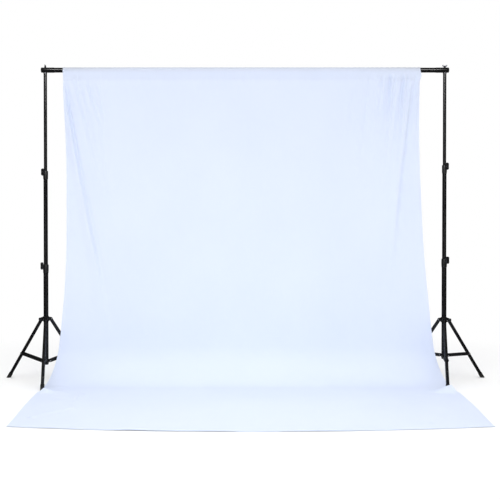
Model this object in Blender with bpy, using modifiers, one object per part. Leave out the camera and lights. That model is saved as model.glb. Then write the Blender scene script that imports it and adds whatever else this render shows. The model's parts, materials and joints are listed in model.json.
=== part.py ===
"""A backdrop support: two telescopic tripod stands, a crossbar in plug-together sections, and a cloth
whose pocket takes the bar, hanging as a sheet and sweeping forward over the floor.

Run it with: blender --background --python part.py
Metres, +Z up. +X runs along the crossbar and the front is -Y. The origin is on the floor, at the centre
of the footprint.
"""

import math

import bmesh
import bpy
from mathutils import Matrix, Vector

# Running gap between neighbouring solids, and the tube wall used throughout.
GAP = 0.0003
WALL = 0.0012

# Crossbar: centre line height, overall length, and where the stands meet it.
BAR_LENGTH = 2.990
BAR_HEIGHT = 2.283
BAR_RADIUS = 0.0178
BAR_SECTIONS = 4
JOINER_LENGTH = 0.120
END_RADIUS = 0.0190
END_LENGTH = 0.095
END_SOLID = 0.052  # closed outer part of an end fitting, beyond the bar section
STUD_INSET = 0.030
STUD_RADIUS = 0.0040
SHOULDER_DEEP = 0.008  # the stud's shoulder, between the bar and the top tube

# Stand tubes, by outer radius.
BASE_RADIUS = 0.0176
MID_RADIUS = 0.0152
TOP_RADIUS = 0.0122
BASE_RISE = 0.712  # brace pivots up to the lower collar's top
MID_RISE = 0.688  # lower collar's top up to the upper collar's top
TUBE_INSERT = 0.090  # how far a tube reaches below the collar that it comes out of
TUBE_STOP = 0.038  # a collar's own tube ends this far below the collar's top
TUBE_TAIL = 0.020  # base tube below the brace pivots

# Collars and their clamp knobs.
COLLAR_HEIGHT = 0.062
COLLAR_WALL = 0.0028
KNOB_DROP = 0.010  # clamp screw below the collar's top
COLLAR_BOSS_RADIUS = 0.0088
HUB_BOSS_RADIUS = 0.0082
HUB_BOSS_END = 0.0315
KNOB_FROM_TUBE = 0.0066  # handle's inner face from the clamped tube's surface
SCREW_RADIUS = 0.0030
HANDLE_HALF = 0.0262
HANDLE_WIDE_HALF = 0.0142
HANDLE_WAIST_HALF = 0.0128
HANDLE_CORNER = 0.0122
HANDLE_DEEP = 0.0142

# Tripod: pivots at their distance from the stand's axis, and lengths between them.
LEG_PIVOT = 0.036
BRACE_PIVOT = 0.028
LEG_REACH = 0.545  # leg pivot to the floor, along the leg
LEG_RADIUS = 0.0120
BRACE_PIN = 0.318  # leg pivot to the brace's rivet, along the leg
BRACE_LENGTH = 0.1872
BRACE_HALF = 0.0100  # half the height of a brace's flanges
FLANGE_INSIDE = 0.0127
SHEET = 0.0012
WEB_START = 0.024  # the brace's web stops short of both pivots so that the folded leg fits in
WEB_END = 0.128
PIN_RADIUS = 0.0030
HEAD_RADIUS = 0.0052
HEAD_DEEP = 0.0020
HUB_RADIUS = 0.0252
HUB_HALF = 0.018
LUG_ROOT = 0.012  # lugs start this far from the stand's axis, inside their hub
LUG_RADIUS = 0.0095
LUG_HALF = 0.0164
SLOT_HALF = 0.0124
BRACE_HUB_RADIUS = 0.0208
BRACE_HUB_HALF = 0.013
BRACE_LUG_RADIUS = 0.0068
BRACE_LUG_HALF = 0.0122
FOOT_RADIUS = 0.0144
FOOT_HEIGHT = 0.046
SOLE_DEPTH = 0.018  # rubber between the leg's end and the floor, along the leg

# Directions round the left stand's axis; the right stand mirrors them.
LEG_AZIMUTHS = {"front": -80.6, "inner": 39.4, "outer": 159.4}
COLLAR_KNOB_AZIMUTHS = {
    "left": {"lower": 212.0, "upper": 240.0},
    "right": {"lower": 233.0, "upper": 242.0},
}
HUB_KNOB_AZIMUTH = -140.6
# How far each stand's braces slope up towards their legs, as the pair stands.
BRACE_RISE = {"left": 14.0, "right": 0.0}

# Cloth, as a plain sheet: the pocket hangs over the bar, the sheet bends forward onto the floor.
CLOTH_THICK = 0.0012
POCKET_RADIUS = 0.0192
POCKET_DEPTH = 0.071
POCKET_SPREAD = 0.003  # half the gap between the pocket's two layers at its seam
SWEEP_RADIUS = 0.26
CLOTH_LIFT = 0.0012
CLOTH_RUN = 1.400  # front hem, forward of the bar
HANGING_HALF = 1.345
FLOOR_HALF = 1.385

OBJECT_NAME = "background_support"

# Sides round a tube or a turned part, a leg, a rod or boss, and a pin, screw or rivet.
ROUND = 24
LEG_ROUND = 18
ROD_ROUND = 16
PIN_ROUND = 12


# Working collections and objects


def clear_scene():
    for obj in list(bpy.data.objects):
        bpy.data.objects.remove(obj, do_unlink=True)


def new_collection(name):
    collection = bpy.data.collections.new(name)
    bpy.context.scene.collection.children.link(collection)
    return collection


def working_object(data):
    """An object in the workshop collection, for a modifier or a Boolean to act on."""
    obj = bpy.data.objects.new("work", data)
    obj.hide_render = True
    obj.display_type = "WIRE"
    workshop.objects.link(obj)
    return obj


def finished_mesh(obj):
    """The mesh that obj's modifiers or curve settings give. The object itself is removed."""
    graph = bpy.context.evaluated_depsgraph_get()
    mesh = bpy.data.meshes.new_from_object(obj.evaluated_get(graph))
    bpy.data.objects.remove(obj, do_unlink=True)
    return mesh


def mesh_of(bm):
    mesh = bpy.data.meshes.new("shape")
    bm.to_mesh(mesh)
    bm.free()
    return mesh


# Shapes


def turned(profile, steps=ROUND):
    """A shape turned about Z from (radius, height) points that run down its outer side. It is solid
    where the profile starts and ends on the axis, and otherwise a ring."""
    last = len(profile) - 1
    edges = [(i, i + 1) for i in range(last)]
    if profile[0][0] > 0:
        edges.append((last, 0))
    mesh = bpy.data.meshes.new("profile")
    mesh.from_pydata([(radius, 0, height) for radius, height in profile], edges, [])
    obj = working_object(mesh)
    screw = obj.modifiers.new("turn", "SCREW")
    screw.steps = screw.render_steps = steps
    screw.use_merge_vertices = True
    screw.merge_threshold = 0.00001
    return finished_mesh(obj)


def tube(radius, wall, low, high, steps=ROUND):
    inner = radius - wall
    return turned([(radius, high), (radius, low), (inner, low), (inner, high)], steps)


def rod(radius, start, end, steps=ROD_ROUND):
    start, end = Vector(start), Vector(end)
    along = end - start
    bm = bmesh.new()
    bmesh.ops.create_cone(
        bm, cap_ends=True, segments=steps, radius1=radius, radius2=radius, depth=along.length
    )
    turn = along.to_track_quat("Z", "Y").to_matrix().to_4x4()
    bmesh.ops.transform(bm, matrix=Matrix.Translation((start + end) / 2) @ turn, verts=bm.verts)
    return mesh_of(bm)


def hole(radius, start, end, steps=PIN_ROUND):
    """A cutter whose flat sides, and not only its corners, clear a round part of this radius."""
    return rod((radius + GAP) / math.cos(math.pi / steps), start, end, steps)


def block(low, high):
    low, high = Vector(low), Vector(high)
    bm = bmesh.new()
    bmesh.ops.create_cube(bm, size=1)
    size = Matrix.Diagonal((*(high - low), 1))
    bmesh.ops.transform(bm, matrix=Matrix.Translation((low + high) / 2) @ size, verts=bm.verts)
    return mesh_of(bm)


def arc(centre, radius, start, end, count):
    """Points round a centre, from one angle to another in degrees."""
    angles = [math.radians(start + (end - start) * i / (count - 1)) for i in range(count)]
    return [(centre[0] + radius * math.cos(a), centre[1] + radius * math.sin(a)) for a in angles]


def plate(outline, half_thickness, bevel=0.0):
    """A flat plate in the XZ plane, centred on Y = 0."""
    curve = bpy.data.curves.new("outline", "CURVE")
    curve.dimensions = "2D"
    curve.fill_mode = "BOTH"
    curve.extrude = half_thickness
    spline = curve.splines.new("POLY")
    spline.points.add(len(outline) - 1)
    for point, (x, y) in zip(spline.points, outline):
        point.co = (x, y, 0, 1)
    spline.use_cyclic_u = True
    bm = bmesh.new()
    bm.from_mesh(finished_mesh(working_object(curve)))
    bmesh.ops.remove_doubles(bm, verts=bm.verts, dist=0.00001)
    bmesh.ops.rotate(bm, matrix=Matrix.Rotation(math.radians(90), 3, "X"), verts=bm.verts)
    bmesh.ops.recalc_face_normals(bm, faces=bm.faces)
    mesh = mesh_of(bm)
    if not bevel:
        return mesh
    obj = working_object(mesh)
    edges = obj.modifiers.new("edges", "BEVEL")
    edges.width = bevel
    edges.segments = 1
    edges.limit_method = "ANGLE"
    edges.angle_limit = math.radians(50)
    return finished_mesh(obj)


def moved(mesh, matrix):
    mesh.transform(matrix)
    return mesh


def spun(mesh, degrees):
    """A copy of the shape, turned about Z."""
    return moved(mesh.copy(), Matrix.Rotation(math.radians(degrees), 4, "Z"))


def combined(base, adds=(), cuts=()):
    """The base shape with some shapes joined to it and then others cut from it."""
    obj = working_object(base)
    tools = []
    for operation, shapes in (("UNION", adds), ("DIFFERENCE", cuts)):
        for shape in shapes:
            tools.append(working_object(shape))
            boolean = obj.modifiers.new(operation, "BOOLEAN")
            boolean.operation = operation
            boolean.object = tools[-1]
    mesh = finished_mesh(obj)
    for tool in tools:
        bpy.data.objects.remove(tool, do_unlink=True)
    return mesh


# Placing


def new_empty(name, parent=None, location=(0, 0, 0)):
    empty = bpy.data.objects.new(name, None)
    empty.empty_display_size = 0.05
    parts.objects.link(empty)
    empty.parent = parent
    empty.location = location
    return empty


def place(name, mesh, finish, parent, location=(0, 0, 0), rotation=(0, 0, 0)):
    mesh.materials.clear()
    mesh.materials.append(finish)
    mesh.shade_smooth()
    mesh.set_sharp_from_angle(angle=math.radians(35))
    obj = bpy.data.objects.new(name, mesh)
    parts.objects.link(obj)
    obj.parent = parent
    obj.location = location
    obj.rotation_euler = rotation
    return obj


def material(name, colour, roughness, metallic):
    made = bpy.data.materials.new(name)
    made.use_nodes = True
    shader = made.node_tree.nodes["Principled BSDF"]
    shader.inputs["Base Color"].default_value = (*colour, 1)
    shader.inputs["Roughness"].default_value = roughness
    shader.inputs["Metallic"].default_value = metallic
    return made


# Where the joints of a stand are


class Stand:
    """One stand's heights, angles and directions, worked out from how its braces slope."""

    def __init__(self, side):
        self.side = side
        self.mirror = side == "right"
        self.x = (BAR_LENGTH / 2 - STUD_INSET) * (1 if self.mirror else -1)
        self.brace_rise = math.radians(BRACE_RISE[side])
        across = BRACE_LENGTH * math.cos(self.brace_rise) - (LEG_PIVOT - BRACE_PIVOT)
        self.lean = math.asin(across / BRACE_PIN)
        self.leg_pivot = LEG_REACH * math.cos(self.lean)
        drop = BRACE_PIN * math.cos(self.lean) + BRACE_LENGTH * math.sin(self.brace_rise)
        self.brace_pivot = self.leg_pivot - drop
        self.lower_top = self.brace_pivot + BASE_RISE
        self.upper_top = self.lower_top + MID_RISE
        self.foot_out = LEG_PIVOT + LEG_REACH * math.sin(self.lean)

    def azimuth(self, degrees):
        """A direction round this stand's axis in radians, from the left stand's in degrees."""
        return math.radians(180 - degrees if self.mirror else degrees)


def stand_plane():
    """Y of the crossbar: it puts the origin midway from the cloth's front hem to the rear feet."""
    rear = max(Stand(side).foot_out for side in BRACE_RISE)
    rear = rear * math.sin(math.radians(LEG_AZIMUTHS["inner"])) + FOOT_RADIUS
    return (CLOTH_RUN - rear) / 2


# Shapes of the stand's parts


def collar_shape(outer_tube, inner_tube):
    """A clamp collar about Z, its top at Z = 0 and its screw boss towards +X."""
    radius = outer_tube + COLLAR_WALL
    foot = outer_tube + 0.0018
    body = turned(
        [
            (0, 0),
            (radius - 0.0030, 0),
            (radius - 0.0010, -0.0016),
            (radius, -0.0090),
            (radius, -0.0400),
            (foot + 0.0004, -0.0520),
            (foot, -COLLAR_HEIGHT),
            (0, -COLLAR_HEIGHT),
        ]
    )
    boss_end = inner_tube + KNOB_FROM_TUBE - GAP
    boss_start = inner_tube + 0.004
    boss = rod(COLLAR_BOSS_RADIUS, (boss_start, 0, -KNOB_DROP), (boss_end, 0, -KNOB_DROP))
    step = -TUBE_STOP + GAP
    wide_bore = hole(outer_tube, (0, 0, -0.1), (0, 0, step), ROUND)
    narrow_bore = hole(inner_tube, (0, 0, -0.1), (0, 0, 0.01), ROUND)
    screw_hole = hole(SCREW_RADIUS, (0, 0, -KNOB_DROP), (0.05, 0, -KNOB_DROP))
    return combined(body, [boss], [wide_bore, narrow_bore, screw_hole])


def collar_knob_shape(inner_tube):
    """A clamp handle, tall and waisted, on its screw, which runs along X from the stand's axis."""
    low = inner_tube + KNOB_FROM_TUBE
    high = low + HANDLE_DEEP
    side = HANDLE_WIDE_HALF - HANDLE_CORNER
    end = HANDLE_HALF - HANDLE_CORNER
    outline = (
        arc((side, end), HANDLE_CORNER, 0, 90, 5)
        + arc((-side, end), HANDLE_CORNER, 90, 180, 5)
        + [(-HANDLE_WAIST_HALF, 0)]
        + arc((-side, -end), HANDLE_CORNER, 180, 270, 5)
        + arc((side, -end), HANDLE_CORNER, 270, 360, 5)
        + [(HANDLE_WAIST_HALF, 0)]
    )
    handle = plate(outline, HANDLE_DEEP / 2, bevel=0.0032)
    face_outwards = Matrix.Rotation(math.radians(90), 4, "Z")
    moved(handle, Matrix.Translation(((low + high) / 2, 0, 0)) @ face_outwards)
    screw = rod(SCREW_RADIUS, (inner_tube + GAP + 0.0002, 0, 0), (high - 0.003, 0, 0), PIN_ROUND)
    return combined(handle, [screw])


def hub_knob_shape():
    """The leg hub's lobed clamp knob on its screw, which runs along X from the stand's axis."""
    low, high, lobes, count = 0.0375, 0.0530, 6, 24
    outline = []
    for i in range(count):
        angle = 2 * math.pi * i / count
        radius = 0.0120 + 0.0012 * math.cos(lobes * angle)
        outline.append((radius * math.cos(angle), radius * math.sin(angle)))
    head = plate(outline, (high - low) / 2, bevel=0.0012)
    lie_along_x = Matrix.Rotation(math.radians(90), 4, "Z")
    moved(head, Matrix.Translation(((low + high) / 2, 0, 0)) @ lie_along_x)
    neck = rod(0.0070, (HUB_BOSS_END + 0.001, 0, 0), (low + 0.002, 0, 0))
    screw = rod(SCREW_RADIUS, (BASE_RADIUS + GAP + 0.0002, 0, 0), (low + 0.001, 0, 0), PIN_ROUND)
    return combined(head, [neck, screw])


def rounded_end_outline(start, centre, radius):
    """A lug's outline: a bar from X = start to a rounded end about (centre, 0)."""
    return [(start, radius), (start, -radius)] + arc((centre, 0), radius, -90, 90, 6)


def leg_hub_shape(knob_direction):
    """The sliding spider: three pairs of ears, level with Z = 0, and the clamp knob's boss."""
    body = turned(
        [
            (0, HUB_HALF),
            (HUB_RADIUS - 0.003, HUB_HALF),
            (HUB_RADIUS, HUB_HALF - 0.003),
            (HUB_RADIUS, -HUB_HALF + 0.003),
            (HUB_RADIUS - 0.003, -HUB_HALF),
            (0, -HUB_HALF),
        ]
    )
    lug = plate(rounded_end_outline(LUG_ROOT, LEG_PIVOT, LUG_RADIUS), LUG_HALF)
    slot = block((LEG_PIVOT - LEG_RADIUS - GAP, -SLOT_HALF, -0.05), (0.07, SLOT_HALF, 0.05))
    pin_hole = hole(PIN_RADIUS, (LEG_PIVOT, -0.03, 0), (LEG_PIVOT, 0.03, 0))
    boss = spun(rod(HUB_BOSS_RADIUS, (0.019, 0, 0), (HUB_BOSS_END, 0, 0)), knob_direction)
    screw_hole = spun(hole(SCREW_RADIUS, (0, 0, 0), (0.06, 0, 0)), knob_direction)
    bore = hole(BASE_RADIUS, (0, 0, -0.05), (0, 0, 0.05), ROUND)
    turns = LEG_AZIMUTHS.values()
    adds = [spun(lug, turn) for turn in turns] + [boss]
    cuts = [spun(cut, turn) for turn in turns for cut in (slot, pin_hole)]
    return combined(body, adds, cuts + [screw_hole, bore])


def brace_hub_shape():
    """The fixed spider at the base tube's foot: three solid lugs, level with Z = 0."""
    body = turned(
        [
            (0, BRACE_HUB_HALF),
            (BRACE_HUB_RADIUS - 0.002, BRACE_HUB_HALF),
            (BRACE_HUB_RADIUS, BRACE_HUB_HALF - 0.002),
            (BRACE_HUB_RADIUS, -BRACE_HUB_HALF + 0.002),
            (BRACE_HUB_RADIUS - 0.002, -BRACE_HUB_HALF),
            (0, -BRACE_HUB_HALF),
        ]
    )
    lug = plate(rounded_end_outline(LUG_ROOT, BRACE_PIVOT, BRACE_LUG_RADIUS), BRACE_LUG_HALF)
    pin_hole = hole(PIN_RADIUS, (BRACE_PIVOT, -0.03, 0), (BRACE_PIVOT, 0.03, 0))
    bore = hole(BASE_RADIUS, (0, 0, -0.05), (0, 0, 0.05), ROUND)
    turns = LEG_AZIMUTHS.values()
    adds = [spun(lug, turn) for turn in turns]
    cuts = [spun(pin_hole, turn) for turn in turns]
    return combined(body, adds, cuts + [bore])


def rivet_shape(half_grip):
    """A rivet about Z = 0 along Y, its heads just outside half_grip to each side."""
    tip = half_grip + HEAD_DEEP
    profile = [
        (0, tip),
        (HEAD_RADIUS - 0.0014, tip),
        (HEAD_RADIUS, tip - 0.0010),
        (HEAD_RADIUS, half_grip),
        (PIN_RADIUS, half_grip),
    ]
    profile += [(radius, -height) for radius, height in reversed(profile)]
    return moved(turned(profile, PIN_ROUND), Matrix.Rotation(math.radians(90), 4, "X"))


def leg_shape():
    """A tubular leg down -Z from its pivot, with its rivet along Y."""
    end = -(LEG_REACH - SOLE_DEPTH)
    crown = arc((0, 0), LEG_RADIUS, 90, 0, 4)
    crown[0] = (0, LEG_RADIUS)
    inside = LEG_RADIUS - WALL
    body = turned(crown + [(LEG_RADIUS, end), (inside, end), (inside, -0.02), (0, -0.02)], LEG_ROUND)
    return combined(body, [rivet_shape(LUG_HALF + GAP)])


def foot_shape(lean):
    """A rubber foot on the leg's end, in the leg's own frame, its sole cut level with the floor."""
    leg_end = -(LEG_REACH - SOLE_DEPTH)
    top = leg_end + FOOT_HEIGHT - SOLE_DEPTH
    bottom = -(LEG_REACH + 0.012)
    socket = LEG_RADIUS + GAP
    body = turned(
        [
            (0, leg_end - GAP),
            (socket, leg_end - GAP),
            (socket, top),
            (FOOT_RADIUS - 0.0010, top),
            (FOOT_RADIUS, top - 0.0080),
            (FOOT_RADIUS, bottom),
            (0, bottom),
        ],
        LEG_ROUND,
    )
    floor = moved(
        block((-0.06, -0.06, -0.06), (0.06, 0.06, 0)),
        Matrix.Translation((0, 0, -LEG_REACH)) @ Matrix.Rotation(lean, 4, "Y"),
    )
    return combined(body, cuts=[floor])


def brace_shape():
    """A pressed channel along +X from its inner pivot: two flanges, a web above, rivets at the ends."""
    outline = arc((0, 0), BRACE_HALF, 90, 270, 6) + arc((BRACE_LENGTH, 0), BRACE_HALF, -90, 90, 6)
    middle = FLANGE_INSIDE + SHEET / 2
    flanges = []
    heads = []
    for side in (-1, 1):
        flange = plate(outline, SHEET / 2)
        flanges.append(moved(flange, Matrix.Translation((0, side * middle, 0))))
        head_end = side * (middle + SHEET / 2 + HEAD_DEEP)
        head = ((BRACE_LENGTH, side * middle, 0), (BRACE_LENGTH, head_end, 0))
        heads.append(rod(HEAD_RADIUS, *head, PIN_ROUND))
    top = BRACE_HALF - 0.0002
    web = block((WEB_START, -middle, top - SHEET), (WEB_END, middle, top))
    inner_rivet = rivet_shape(middle)
    return combined(web, flanges + heads + [inner_rivet])


def top_stud_shape():
    """The stud about Z, whose Z = 0 is the crossbar's centre: a plug in the top tube, a shoulder
    under the bar, and a threaded end through it."""
    seat = -END_RADIUS - GAP
    tube_end = seat - SHOULDER_DEEP
    tip = END_RADIUS + 0.0140
    plug = TOP_RADIUS - WALL - GAP
    return turned(
        [
            (0, tip),
            (STUD_RADIUS - 0.0008, tip),
            (STUD_RADIUS, tip - 0.0010),
            (STUD_RADIUS, seat),
            (0.0130, seat),
            (0.0135, tube_end + GAP),
            (plug, tube_end + GAP),
            (plug, tube_end - 0.035),
            (0, tube_end - 0.035),
        ],
        ROD_ROUND,
    )


def wing_nut_shape():
    """A wing nut about Z, standing on Z = 0, its wings along X."""
    hub = turned([(0, 0.0100), (0.0062, 0.0100), (0.0078, 0), (0, 0)], ROD_ROUND)
    lobe = (0.0128, 0.0140)
    outline = [(0.0030, 0.0015), (0.0090, 0.0020)] + arc(lobe, 0.0060, -50, 190, 7)
    outline.append((0.0030, 0.0085))
    wing = plate(outline, 0.0014)
    bore = hole(STUD_RADIUS, (0, 0, -0.01), (0, 0, 0.02))
    return combined(hub, [wing, spun(wing, 180)], [bore])


def tube_plug_shape(tube_radius, guide_radius):
    """A guide bush on a tube's lower end, at Z = 0: a spigot inside it and a guide ring below."""
    spigot = tube_radius - WALL - GAP
    guide = guide_radius - WALL - GAP
    bore = spigot - 0.0028
    return turned(
        [
            (spigot, 0.012),
            (spigot, -GAP),
            (guide, -GAP),
            (guide, -0.012),
            (bore, -0.012),
            (bore, 0.012),
        ]
    )


def end_cap_shape(tube_radius):
    """A plastic cap closing a tube's lower end, at Z = 0."""
    spigot = tube_radius - WALL - GAP
    return turned(
        [
            (0, 0.012),
            (spigot, 0.012),
            (spigot, -GAP),
            (tube_radius, -GAP),
            (tube_radius - 0.001, -0.005),
            (0, -0.005),
        ]
    )


# Shapes of the crossbar's parts


def bar_end_shape():
    """An end fitting along Z, its closed end up and its stud hole along X at Z = 0."""
    top = STUD_INSET
    corner = 0.0050
    socket_floor = top - END_SOLID
    socket = BAR_RADIUS + GAP
    low = top - END_LENGTH
    crown = arc((END_RADIUS - corner, top - corner), corner, 90, 0, 4)
    body = turned(
        [(0, top)]
        + crown
        + [
            (END_RADIUS, low),
            (socket, low),
            (socket, socket_floor),
            (0, socket_floor),
        ]
    )
    stud_hole = hole(STUD_RADIUS, (-0.03, 0, 0), (0.03, 0, 0))
    return combined(body, cuts=[stud_hole])


def cloth_path():
    """The sheet's centre line from the pocket's loose edge to the front hem, as (y, z, half width).
    y and z are measured from the bar's centre and from the floor."""
    seam = BAR_HEIGHT - POCKET_DEPTH
    path = [(POCKET_SPREAD, seam)]
    path += arc((0, BAR_HEIGHT), POCKET_RADIUS, -12, 192, 13)
    path.append((-POCKET_SPREAD, seam))
    bend_top = CLOTH_LIFT + SWEEP_RADIUS
    rungs = 6
    for i in range(1, rungs):
        path.append((-POCKET_SPREAD, seam + (bend_top - seam) * i / rungs))
    bend = (-POCKET_SPREAD - SWEEP_RADIUS, bend_top)
    path += arc(bend, SWEEP_RADIUS, 0, -90, 11)
    path.append((-CLOTH_RUN, CLOTH_LIFT))
    spread = (FLOOR_HALF - HANGING_HALF) / bend_top
    return [(y, z, HANGING_HALF + spread * max(0, bend_top - z)) for y, z in path]


def cloth_shape():
    """The backdrop as one even sheet."""
    path = cloth_path()
    bm = bmesh.new()
    bmesh.ops.create_grid(bm, x_segments=2, y_segments=len(path) - 1, size=1)
    for vert in bm.verts:
        row = round((vert.co.y + 1) / 2 * (len(path) - 1))
        y, z, half = path[row]
        vert.co = (vert.co.x * half, y, z)
    obj = working_object(mesh_of(bm))
    sheet = obj.modifiers.new("sheet", "SOLIDIFY")
    sheet.thickness = CLOTH_THICK
    sheet.offset = 0
    return finished_mesh(obj)


# Assembly


def build_tripod(stand, frame, finishes):
    side = stand.side
    azimuths = {name: stand.azimuth(angle) for name, angle in LEG_AZIMUTHS.items()}
    tail = stand.brace_pivot - TUBE_TAIL
    stop = stand.lower_top - TUBE_STOP
    place(f"{side}_base_tube", tube(BASE_RADIUS, WALL, tail, stop), finishes["tube"], frame)
    place(f"{side}_base_cap", end_cap_shape(BASE_RADIUS), finishes["plastic"], frame, (0, 0, tail))

    # The hubs are built for the left stand. Seen from above the right stand's directions are the
    # mirror image, which is the same three directions turned, with the knob on its other side.
    turn = (0, 0, azimuths["front"] - math.radians(LEG_AZIMUTHS["front"]))
    knob = math.degrees(stand.azimuth(HUB_KNOB_AZIMUTH) - turn[2])
    hub = new_empty(f"{side}_leg_hub_slide", frame, (0, 0, stand.leg_pivot))
    place(f"{side}_leg_hub", leg_hub_shape(knob), finishes["casting"], hub, rotation=turn)
    knob_turn = (0, 0, stand.azimuth(HUB_KNOB_AZIMUTH))
    place(f"{side}_hub_knob", hub_knob_shape(), finishes["plastic"], hub, rotation=knob_turn)
    pivot = (0, 0, stand.brace_pivot)
    place(f"{side}_brace_hub", brace_hub_shape(), finishes["casting"], frame, pivot, turn)

    leg_mesh, foot_mesh, brace_mesh = leg_shape(), foot_shape(stand.lean), brace_shape()
    for name, azimuth in azimuths.items():
        outward = Vector((math.cos(azimuth), math.sin(azimuth), 0))
        leg_turn = (0, -stand.lean, azimuth)
        leg = place(
            f"{side}_leg_{name}", leg_mesh, finishes["tube"], hub, outward * LEG_PIVOT, leg_turn
        )
        place(f"{side}_foot_{name}", foot_mesh, finishes["rubber"], leg)
        brace_at = outward * BRACE_PIVOT + Vector(pivot)
        brace_turn = (0, -stand.brace_rise, azimuth)
        place(f"{side}_brace_{name}", brace_mesh, finishes["brace"], frame, brace_at, brace_turn)


def build_column(stand, frame, finishes):
    """The collars, their knobs, and the middle and top tubes."""
    side = stand.side
    seat = BAR_HEIGHT - END_RADIUS - GAP - SHOULDER_DEEP
    joints = {
        "lower": (stand.lower_top, BASE_RADIUS, MID_RADIUS),
        "upper": (stand.upper_top, MID_RADIUS, TOP_RADIUS),
    }
    for level, (top, outer, inner) in joints.items():
        at = (0, 0, top)
        turn = (0, 0, stand.azimuth(COLLAR_KNOB_AZIMUTHS[side][level]))
        place(f"{side}_{level}_collar", collar_shape(outer, inner), finishes["plastic"], frame, at, turn)
        knob_at = (0, 0, top - KNOB_DROP)
        knob_mesh = collar_knob_shape(inner)
        place(f"{side}_{level}_knob", knob_mesh, finishes["plastic"], frame, knob_at, turn)

    mid_low = stand.lower_top - TUBE_INSERT
    mid_tube = tube(MID_RADIUS, WALL, mid_low, stand.upper_top - TUBE_STOP)
    place(f"{side}_mid_tube", mid_tube, finishes["tube"], frame)
    mid_plug = tube_plug_shape(MID_RADIUS, BASE_RADIUS)
    place(f"{side}_mid_tube_plug", mid_plug, finishes["plastic"], frame, (0, 0, mid_low))

    # Both top tubes are cut to one length, so the stand with the higher collar hides more of its own.
    top_low = seat - TOP_TUBE_LENGTH
    place(f"{side}_top_tube", tube(TOP_RADIUS, WALL, top_low, seat), finishes["tube"], frame)
    top_plug = tube_plug_shape(TOP_RADIUS, MID_RADIUS)
    place(f"{side}_top_tube_plug", top_plug, finishes["plastic"], frame, (0, 0, top_low))

    bar_height = (0, 0, BAR_HEIGHT)
    place(f"{side}_top_stud", top_stud_shape(), finishes["steel"], frame, bar_height)
    nut_at = (0, 0, BAR_HEIGHT + END_RADIUS + GAP)
    nut_turn = (0, 0, 0 if stand.mirror else math.radians(90))
    place(f"{side}_wing_nut", wing_nut_shape(), finishes["steel"], frame, nut_at, nut_turn)


def build_crossbar(carriage, finishes):
    lie_along_x = (0, math.radians(90), 0)
    reach = BAR_LENGTH / 2 - END_SOLID - GAP
    pitch = 2 * reach / BAR_SECTIONS
    half = pitch / 2 - GAP
    for i in range(BAR_SECTIONS):
        section = tube(BAR_RADIUS, WALL, -half, half)
        centre = (-reach + pitch * (i + 0.5), 0, 0)
        place(f"bar_section_{i + 1}", section, finishes["bar"], carriage, centre, lie_along_x)
    for i in range(1, BAR_SECTIONS):
        joiner = tube(BAR_RADIUS - WALL - GAP, WALL, -JOINER_LENGTH / 2, JOINER_LENGTH / 2)
        centre = (-reach + pitch * i, 0, 0)
        place(f"bar_joiner_{i}", joiner, finishes["steel"], carriage, centre, lie_along_x)
    stud_x = BAR_LENGTH / 2 - STUD_INSET
    for name, sign in (("left", -1), ("right", 1)):
        turn = (0, sign * math.radians(90), 0)
        place(f"bar_end_{name}", bar_end_shape(), finishes["bar"], carriage, (sign * stud_x, 0, 0), turn)


def make_finishes():
    return {
        "tube": material("black_tube", (0.018, 0.018, 0.019), 0.38, 0.0),
        "bar": material("black_bar", (0.020, 0.020, 0.021), 0.34, 0.0),
        "brace": material("black_pressed_steel", (0.016, 0.016, 0.017), 0.42, 0.0),
        "casting": material("black_casting", (0.015, 0.015, 0.016), 0.50, 0.0),
        "plastic": material("black_plastic", (0.014, 0.014, 0.015), 0.55, 0.0),
        "rubber": material("black_rubber", (0.012, 0.012, 0.012), 0.80, 0.0),
        "steel": material("dark_plated_steel", (0.060, 0.060, 0.065), 0.35, 1.0),
        "cloth": material("backdrop_cloth", (0.80, 0.86, 0.95), 0.90, 0.0),
    }


def build():
    finishes = make_finishes()
    root = new_empty(OBJECT_NAME)
    plane = stand_plane()
    for side in BRACE_RISE:
        stand = Stand(side)
        frame = new_empty(f"{side}_stand", root, (stand.x, plane, 0))
        build_tripod(stand, frame, finishes)
        build_column(stand, frame, finishes)
    carriage = new_empty("crossbar_carriage", root, (0, plane, BAR_HEIGHT))
    build_crossbar(carriage, finishes)
    place("backdrop_cloth", cloth_shape(), finishes["cloth"], root, (0, plane, 0))


# Top tube: long enough to reach TUBE_INSERT into the left stand's middle tube.
TOP_TUBE_LENGTH = (
    BAR_HEIGHT - END_RADIUS - GAP - SHOULDER_DEEP - Stand("left").upper_top + TUBE_INSERT
)

clear_scene()
parts = new_collection(OBJECT_NAME)
workshop = new_collection("workshop")
build()
bpy.data.collections.remove(workshop)
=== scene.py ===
"""Looks for the backdrop support.

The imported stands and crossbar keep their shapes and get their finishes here. The backdrop cloth is made
here as a hanging, gathered, creased sheet with a rod pocket.

Metres, +Z up, the front is -Y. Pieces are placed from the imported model, and the folds of the cloth from
the bar's middle and the pocket's seam.
"""

import json
import math

import bmesh
import bpy
import numpy as np
from mathutils import Matrix, Vector


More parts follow.
